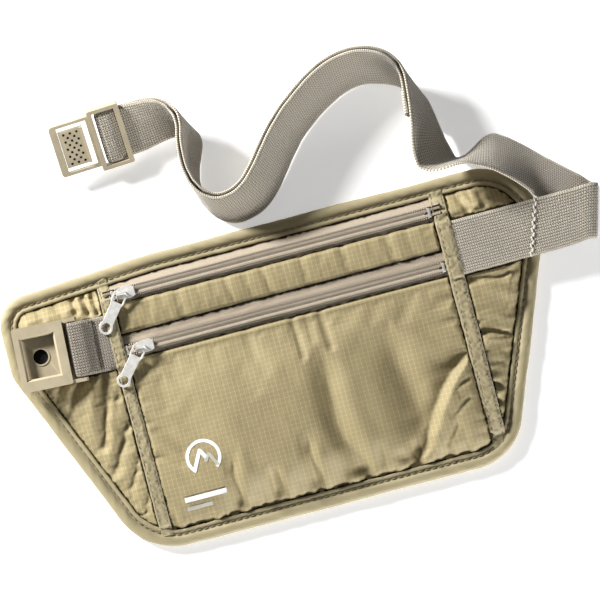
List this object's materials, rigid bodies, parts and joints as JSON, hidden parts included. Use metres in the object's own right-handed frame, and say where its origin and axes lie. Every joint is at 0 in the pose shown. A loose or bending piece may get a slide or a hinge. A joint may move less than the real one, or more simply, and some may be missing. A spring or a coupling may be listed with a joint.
{
  "type": "waist money pouch",
  "caption": "Flat zipped waist pouch with front and rear pockets, pull-tab zips, an elastic waist strap and a flat press-tongue buckle.",
  "frame": {"origin": "middle of the pouch's outline, on its flat back face", "axes": "+Z out of the pouch's front, +X along the pouch's length away from the socket end, +Y up the pouch towards its upper zip and the strap"},
  "size_m": [0.2798, 0.2034, 0.0252],
  "materials": {
    "ripstop": "woven nylon with a fine grid and a soft sheen",
    "binding_fabric": "folded woven tape, puckered along the stitching",
    "seam_fabric": "folded woven tape",
    "lining": "thin plain weave",
    "zip_tape": "woven tape",
    "zip_coil": "nylon coil, satin",
    "webbing": "knitted elastic webbing",
    "webbing_dark": "knitted elastic webbing",
    "thread": "sewing thread",
    "buckle_plastic": "moulded, fine matt texture",
    "slider_metal": "cast and plated, softly worn",
    "stop_metal": "pressed"
  },
  "bodies": {
    "pouch": {"back_panel": "ripstop", "pocket_divider": "lining", "front_panel": "ripstop", "middle_panel": "ripstop", "left_side_panel": "ripstop", "right_side_panel": "ripstop", "edge_binding": "binding_fabric", "binding_stitching": "thread", "left_seam_tape": "seam_fabric", "right_seam_tape": "seam_fabric", "seam_stitching": "thread", "upper_zip_tapes": "zip_tape", "upper_zip_coils": "zip_coil", "upper_zip_stops": "stop_metal", "lower_zip_tapes": "zip_tape", "lower_zip_coils": "zip_coil", "lower_zip_stops": "stop_metal", "buckle_loop": "webbing_dark", "loop_bartack": "thread", "strap_root": "webbing", "strap_bartack": "thread"},
    "upper_slider": {"upper_slider_body": "slider_metal", "upper_slider_crown": "slider_metal"},
    "upper_pull": {"upper_pull_tab": "slider_metal"},
    "lower_slider": {"lower_slider_body": "slider_metal", "lower_slider_crown": "slider_metal"},
    "lower_pull": {"lower_pull_tab": "slider_metal"},
    "socket": {"buckle_socket": "buckle_plastic"},
    "strap_a": {"strap_section_1": "webbing", "strap_return_1": "webbing", "strap_end_hem": "webbing"},
    "strap_b": {"strap_section_2": "webbing", "strap_return_2": "webbing"},
    "strap_c": {"strap_section_3": "webbing", "strap_return_3": "webbing"},
    "strap_d": {"strap_section_4": "webbing", "strap_return_4": "webbing"},
    "plug": {"buckle_plug": "buckle_plastic", "plug_webbing_loop": "webbing_dark"},
    "latch": {"latch_tongue": "buckle_plastic"}
  },
  "joints": [
    {"name": "upper_slider_travel", "type": "slide", "parent": "pouch", "child": "upper_slider", "axis": [1, 0, 0], "range_m": [0, 0.134]},
    {"name": "upper_pull_flip", "type": "hinge", "parent": "upper_slider", "child": "upper_pull", "pos_m": [-0.0702, 0.0518, 0.0113], "axis": [-0.7826, 0.6225, 0], "range_deg": [0, 105]},
    {"name": "lower_slider_travel", "type": "slide", "parent": "pouch", "child": "lower_slider", "axis": [1, 0, 0], "range_m": [0, 0.131]},
    {"name": "lower_pull_flip", "type": "hinge", "parent": "lower_slider", "child": "lower_pull", "pos_m": [-0.0679, 0.0262, 0.0113], "axis": [-0.757, 0.6534, 0], "range_deg": [0, 105]},
    {"name": "socket_tilt", "type": "hinge", "parent": "pouch", "child": "socket", "pos_m": [-0.09627, 0.03237, 0.0114], "axis": [0.0523, 0.9986, 0], "range_deg": [0, 75]},
    {"name": "strap_swing", "type": "hinge", "parent": "pouch", "child": "strap_a", "pos_m": [0.0953, 0.0712, 0.01275], "axis": [0, 0, 1], "range_deg": [-45, 0]},
    {"name": "strap_flex_top", "type": "hinge", "parent": "strap_a", "child": "strap_b", "pos_m": [0.0624, 0.12485, 0.0104], "axis": [0, 0, 1], "range_deg": [-15, 0], "stiffness_Nm_per_rad": 0.002},
    {"name": "strap_flex_low", "type": "hinge", "parent": "strap_b", "child": "strap_c", "pos_m": [-0.0141, 0.0781, 0.0104], "axis": [0, 0, 1], "range_deg": [-15, 12], "stiffness_Nm_per_rad": 0.002},
    {"name": "strap_flex_end", "type": "hinge", "parent": "strap_c", "child": "strap_d", "pos_m": [-0.0243, 0.1022, 0.0117], "axis": [0, 0, 1], "range_deg": [-15, 12], "stiffness_Nm_per_rad": 0.002},
    {"name": "plug_flex", "type": "hinge", "parent": "strap_d", "child": "plug", "pos_m": [-0.04617, 0.12315, 0.0085], "axis": [0.0411, -0.9248, -0.3782], "range_deg": [-35, 0]},
    {"name": "latch_press", "type": "hinge", "parent": "plug", "child": "latch", "pos_m": [-0.0795, 0.12114, 0.00979], "axis": [0.0411, -0.9248, -0.3782], "range_deg": [0, 6], "stiffness_Nm_per_rad": 0.3}
  ]
}
